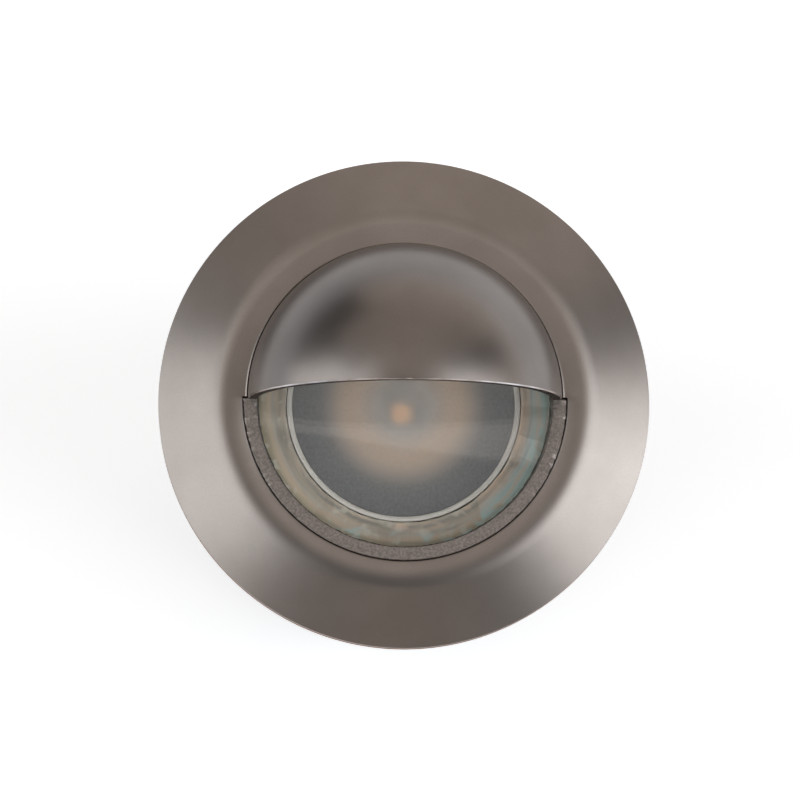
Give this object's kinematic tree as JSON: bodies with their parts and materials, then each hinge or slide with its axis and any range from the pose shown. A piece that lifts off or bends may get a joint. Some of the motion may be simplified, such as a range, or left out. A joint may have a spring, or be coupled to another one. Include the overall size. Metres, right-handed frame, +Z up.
{
  "type": "in-ground scoop light",
  "caption": "Round in-ground light with a conical trim ring, a quarter-ball hood over glass, and a ground sleeve.",
  "frame": {"origin": "on the lamp's axis at ground level, in the plane of the sleeve flange's underside", "axes": "+Z up out of the ground, the hood on the +Y half, its mouth facing -Y"},
  "size_m": [0.07, 0.07, 0.1129],
  "materials": {
    "bronzed_steel": "satin bronzed stainless steel with a fine grain",
    "turned_brass": "turned, slightly dulled",
    "toughened_glass": "clear, polished, with a green edge",
    "clear_acrylic": "clear moulded acrylic",
    "frosted_acrylic": "frosted",
    "white_plastic": "moulded",
    "phosphor": "silicone dome over yellow-orange phosphor",
    "white_board": "white solder mask on aluminium",
    "green_board": "green solder mask on glass laminate",
    "screw_steel": "plain stainless steel",
    "pad_silicone": "soft thermal silicone",
    "grey_silicone": "moulded silicone",
    "pale_silicone": "translucent bed of cured silicone",
    "dark_sealant": "cured glossy bead",
    "black_rubber": "moulded",
    "sleeve_plastic": "moulded, lightly textured",
    "gland_plastic": "moulded nylon",
    "red_insulation": "silicone insulation",
    "black_insulation": "silicone insulation",
    "black_resin": "moulded resin",
    "can_sleeve": "shrunk sleeve on an aluminium can",
    "ferrite": "pressed ferrite",
    "green_plastic": "moulded"
  },
  "bodies": {
    "sleeve": {"ground_sleeve": "sleeve_plastic"},
    "grip": {"grip_rings": "black_rubber"},
    "lamp": {"trim_ring": "bronzed_steel", "scoop_insert": "bronzed_steel", "upper_gasket": "grey_silicone", "lens_glass": "toughened_glass", "edge_sealant": "dark_sealant", "lower_gasket": "pale_silicone", "housing_body": "turned_brass", "trim_o_ring": "black_rubber", "diffuser_disc": "frosted_acrylic", "optic_lens": "clear_acrylic", "optic_holder": "white_plastic", "led_package": "phosphor", "led_board": "white_board", "board_screws": "screw_steel", "thermal_pad": "pad_silicone", "led_wire_red": "red_insulation", "led_wire_black": "black_insulation", "driver_board": "green_board", "board_standoffs": "turned_brass", "driver_screws": "screw_steel", "bridge_rectifier": "black_resin", "smoothing_capacitors": "can_sleeve", "power_inductor": "ferrite", "driver_chip": "black_resin", "input_terminal": "green_plastic", "bottom_cap": "turned_brass", "cap_o_ring": "black_rubber", "cap_screws": "screw_steel", "gland_washer": "black_rubber", "gland_body": "gland_plastic", "gland_seal": "black_rubber", "gland_nut": "gland_plastic"}
  },
  "joints": [
    {"name": "lift_out", "type": "slide", "parent": "sleeve", "child": "grip", "axis": [0, 0, 1], "range_m": [0, 0.075]},
    {"name": "aim_turn", "type": "hinge", "parent": "grip", "child": "lamp", "pos_m": [0, 0, 0], "axis": [0, 0, 1], "continuous": true}
  ]
}
